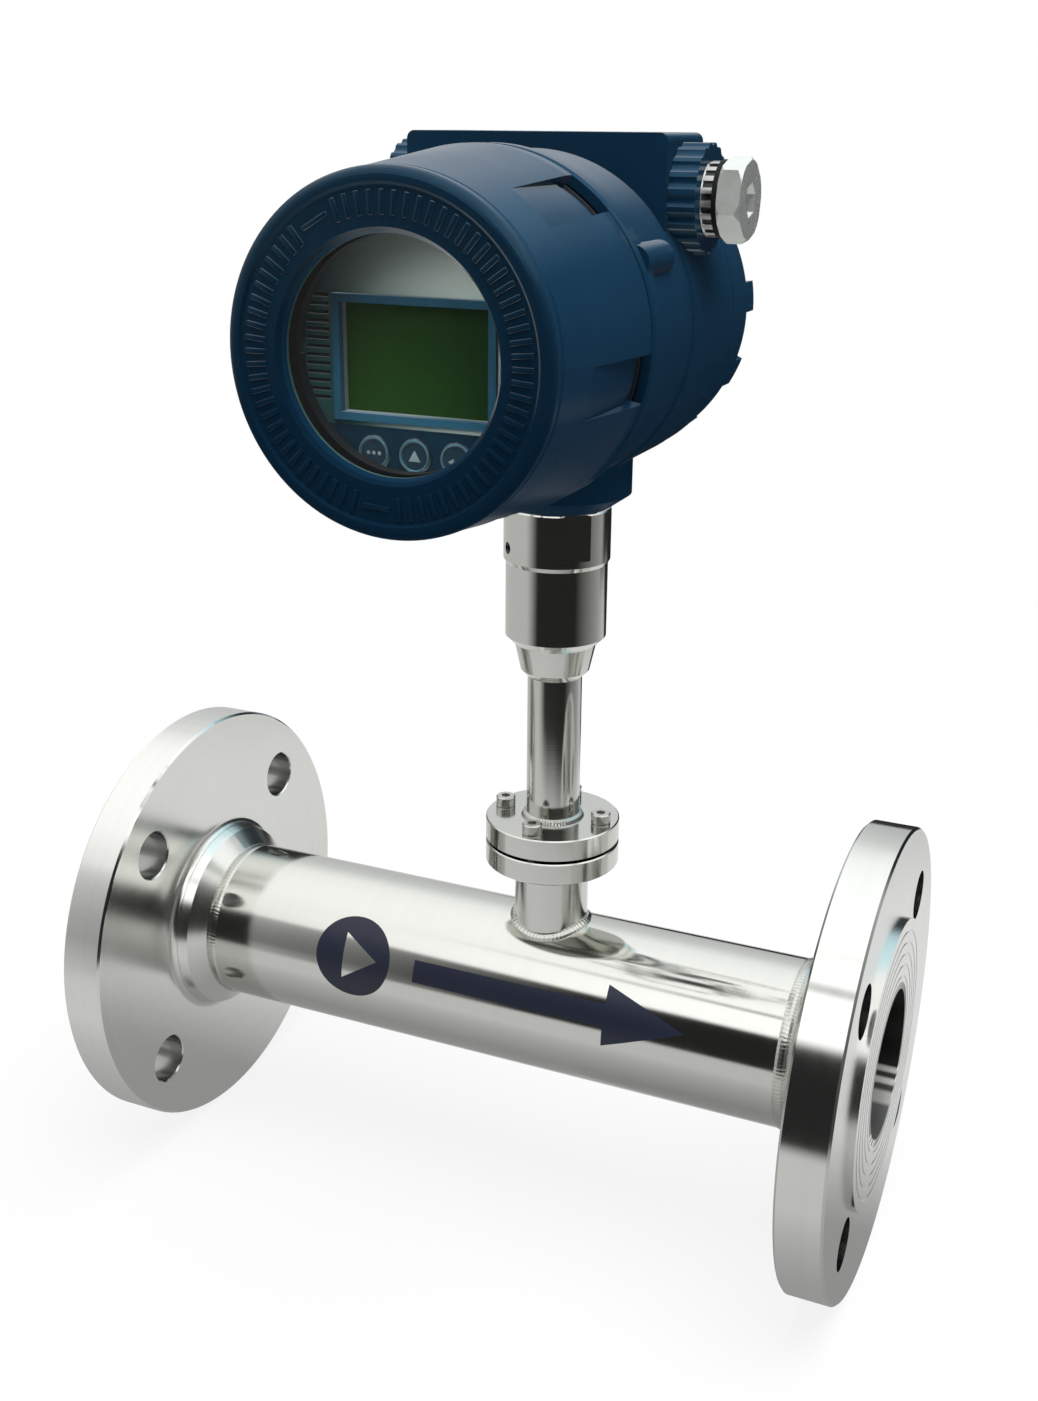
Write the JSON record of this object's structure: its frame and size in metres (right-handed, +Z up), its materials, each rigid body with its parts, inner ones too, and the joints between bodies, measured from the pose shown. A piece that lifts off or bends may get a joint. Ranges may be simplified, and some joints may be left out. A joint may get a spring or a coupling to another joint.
{
  "type": "thermal mass flow meter",
  "caption": "Inline thermal mass flow meter: flanged steel measuring pipe with a probe joint, stem and swivelling display head with screwed covers.",
  "frame": {"origin": "centre of the inlet flange's bolting face, on the pipe's axis", "axes": "+X along the flow, from the inlet to the outlet; +Z up along the probe's stem to the head; the display looks towards -Y"},
  "size_m": [0.289, 0.2025, 0.3852],
  "materials": {
    "turned_steel": "turned stainless steel",
    "brushed_steel": "brushed stainless steel",
    "weld_steel": "ground weld",
    "bright_steel": "bright stainless fasteners",
    "black_steel": "blackened steel",
    "navy_paint": "glossy dark blue enamel on cast aluminium",
    "black_rubber": "black rubber",
    "potting": "cast resin",
    "grey_plastic": "moulded grey plastic",
    "display_film": "printed film with a satin face",
    "lcd_green": "liquid crystal panel, not lit",
    "blue_plastic": "blue bezel",
    "navy_key": "navy key cap",
    "board_green": "solder resist",
    "brass": "brass",
    "black_plastic": "black plastic",
    "green_plastic": "green terminal plastic",
    "window_glass": "clear toughened glass"
  },
  "bodies": {
    "spool": {"inlet_flange": "turned_steel", "outlet_flange": "turned_steel", "measuring_pipe": "brushed_steel", "girth_welds": "weld_steel", "sensor_socket": "brushed_steel", "socket_weld": "weld_steel", "joint_gasket": "black_rubber", "probe_flange": "turned_steel", "joint_screws": "bright_steel", "stem_weld": "weld_steel", "stem_tube": "brushed_steel", "probe_head": "turned_steel", "heated_well": "bright_steel", "reference_well": "bright_steel", "probe_guard": "turned_steel", "stem_coupling": "turned_steel", "lead_seal": "potting", "swivel_sleeve": "turned_steel", "lock_screw": "black_steel"},
    "head": {"swivel_nipple": "turned_steel", "swivel_o_ring": "black_rubber", "housing_body": "navy_paint", "cover_lock_screws": "black_steel", "earth_screw": "bright_steel", "conduit_plug": "bright_steel", "plug_washer": "black_rubber", "module_base": "grey_plastic", "module_screws": "bright_steel", "module_case": "grey_plastic", "display_plate": "display_film", "lcd_panel": "lcd_green", "lcd_frame": "blue_plastic", "main_board": "board_green", "display_board": "board_green", "board_spacers": "brass", "key_switches": "black_plastic", "transformer": "black_plastic", "wire_feedthrough": "potting", "terminal_block": "green_plastic", "terminal_screws": "bright_steel", "ground_screw": "bright_steel"},
    "front_seal": {"front_o_ring": "black_rubber"},
    "front_cover": {"front_cover": "navy_paint", "window_gasket": "black_rubber", "window_glass": "window_glass", "window_ring": "turned_steel"},
    "rear_seal": {"rear_o_ring": "black_rubber"},
    "rear_cover": {"rear_cover": "navy_paint"},
    "left_key": {"left_key": "navy_key"},
    "middle_key": {"middle_key": "navy_key"},
    "right_key": {"right_key": "navy_key"}
  },
  "joints": [
    {"name": "head_swivel", "type": "hinge", "parent": "spool", "child": "head", "pos_m": [0.16, 0, 0.1844], "axis": [0, 0, 1], "range_deg": [-175, 175]},
    {"name": "front_cover_travel", "type": "slide", "parent": "head", "child": "front_seal", "axis": [0, -1, 0], "range_m": [0, 0.012]},
    {"name": "front_cover_spin", "type": "hinge", "parent": "front_seal", "child": "front_cover", "pos_m": [0.16, -0.06, 0.24695], "axis": [0, -1, 0], "range_deg": [0, 2160]},
    {"name": "rear_cover_travel", "type": "slide", "parent": "head", "child": "rear_seal", "axis": [0, 1, 0], "range_m": [0, 0.01]},
    {"name": "rear_cover_spin", "type": "hinge", "parent": "rear_seal", "child": "rear_cover", "pos_m": [0.16, 0.02, 0.24695], "axis": [0, 1, 0], "range_deg": [0, 1800]},
    {"name": "left_key_press", "type": "slide", "parent": "head", "child": "left_key", "axis": [0, 1, 0], "range_m": [0, 0.0005], "stiffness_N_per_m": 400},
    {"name": "middle_key_press", "type": "slide", "parent": "head", "child": "middle_key", "axis": [0, 1, 0], "range_m": [0, 0.0005], "stiffness_N_per_m": 400},
    {"name": "right_key_press", "type": "slide", "parent": "head", "child": "right_key", "axis": [0, 1, 0], "range_m": [0, 0.0005], "stiffness_N_per_m": 400}
  ],
  "couplings": [
    {"joint": "front_cover_travel", "follows": "front_cover_spin", "m_per_rad": 0.00031831},
    {"joint": "rear_cover_travel", "follows": "rear_cover_spin", "m_per_rad": 0.00031831}
  ]
}
